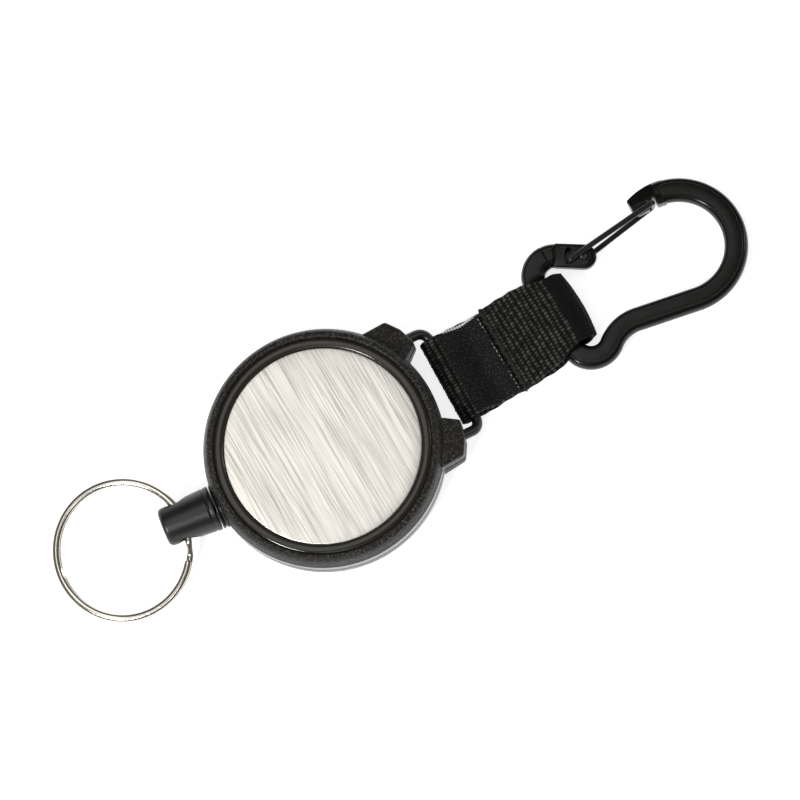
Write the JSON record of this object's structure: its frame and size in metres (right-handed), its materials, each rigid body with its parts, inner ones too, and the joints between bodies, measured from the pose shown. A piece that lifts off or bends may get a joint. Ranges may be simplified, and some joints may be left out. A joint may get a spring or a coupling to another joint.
{
  "type": "retractable key reel",
  "caption": "Round cord reel with a brushed face, a sprung cord ending in a split key ring, and a webbing strap with a wire gate carabiner.",
  "frame": {"origin": "centre of the case's flat back, on the surface the reel lies on", "axes": "+X from the case through the strap to the carabiner, +Z out of the round face, +Y to the gate's side"},
  "size_m": [0.1617, 0.0504, 0.013],
  "materials": {
    "black_moulding": "fine leather grain, satin",
    "bezel_gloss": "polished",
    "brushed_plate": "straight brushed",
    "guide_acetal": "smooth",
    "bell_rubber": "satin",
    "nickel_wire": "bright nickel plate",
    "black_wire": "satin black",
    "webbing": "ribbed woven webbing",
    "label_weave": "fine woven label",
    "anodised_black": "gloss black anodised",
    "aramid_cord": "braided",
    "spring_steel": "blued strip",
    "spool_acetal": "natural",
    "arbor_brass": "turned",
    "washer_film": "film"
  },
  "bodies": {
    "case": {"front_case": "black_moulding", "rear_case": "black_moulding", "face_plate": "brushed_plate", "face_bezel": "bezel_gloss", "cord_guide": "guide_acetal", "arbor": "arbor_brass", "spool_washer": "washer_film", "cord_lead": "aramid_cord"},
    "spool": {"spool": "spool_acetal", "spool_cover": "spool_acetal", "power_spring": "spring_steel", "cord_inner_layer": "aramid_cord", "cord_outer_layer": "aramid_cord"},
    "cord_end": {"cord_tail": "aramid_cord", "cord_ferrule": "nickel_wire"},
    "bell": {"bell": "bell_rubber"},
    "key_ring": {"key_ring": "nickel_wire"},
    "bail": {"bail": "black_wire"},
    "strap": {"webbing_strap": "webbing", "strap_label": "label_weave"},
    "carabiner": {"carabiner_body": "anodised_black"},
    "gate": {"gate_wire": "black_wire"}
  },
  "joints": [
    {"name": "cord_pull", "type": "slide", "parent": "case", "child": "cord_end", "axis": [-0.9885, 0.1513, 0], "range_m": [0, 0.914], "stiffness_N_per_m": 1, "springref_m": -1.5, "deforming": ["cord_tail"]},
    {"name": "spool_spin", "type": "hinge", "parent": "case", "child": "spool", "pos_m": [0, 0, 0.006], "axis": [0, 0, 1], "continuous": true, "deforming": ["power_spring"]},
    {"name": "bell_swivel", "type": "hinge", "parent": "cord_end", "child": "bell", "pos_m": [-0.0165, 0, 0.006], "axis": [-0.9885, 0.1513, 0], "continuous": true},
    {"name": "key_ring_swing", "type": "hinge", "parent": "bell", "child": "key_ring", "pos_m": [-0.03325, 0.00256, 0.006], "axis": [0.1505, 0.9833, 0.1027], "range_deg": [-100, 120]},
    {"name": "bail_swing", "type": "hinge", "parent": "case", "child": "bail", "pos_m": [0.024, 0, 0.006], "axis": [0, -1, 0], "range_deg": [-6.5, 50]},
    {"name": "strap_swing", "type": "hinge", "parent": "bail", "child": "strap", "pos_m": [0.03052, 0, 0.00295], "axis": [0, -1, 0], "range_deg": [-45, 45]},
    {"name": "carabiner_swing", "type": "hinge", "parent": "strap", "child": "carabiner", "pos_m": [0.05527, 0, 0.0042], "axis": [0, -1, 0], "range_deg": [-75, 75]},
    {"name": "gate_open", "type": "hinge", "parent": "carabiner", "child": "gate", "pos_m": [0.06721, 0.008, 0.00372], "axis": [-0.0403, 0, -0.9992], "range_deg": [0, 40], "stiffness_Nm_per_rad": 0.05, "springref_deg": -17.19}
  ],
  "couplings": [
    {"joint": "spool_spin", "follows": "cord_pull", "rad_per_m": -65.359}
  ]
}
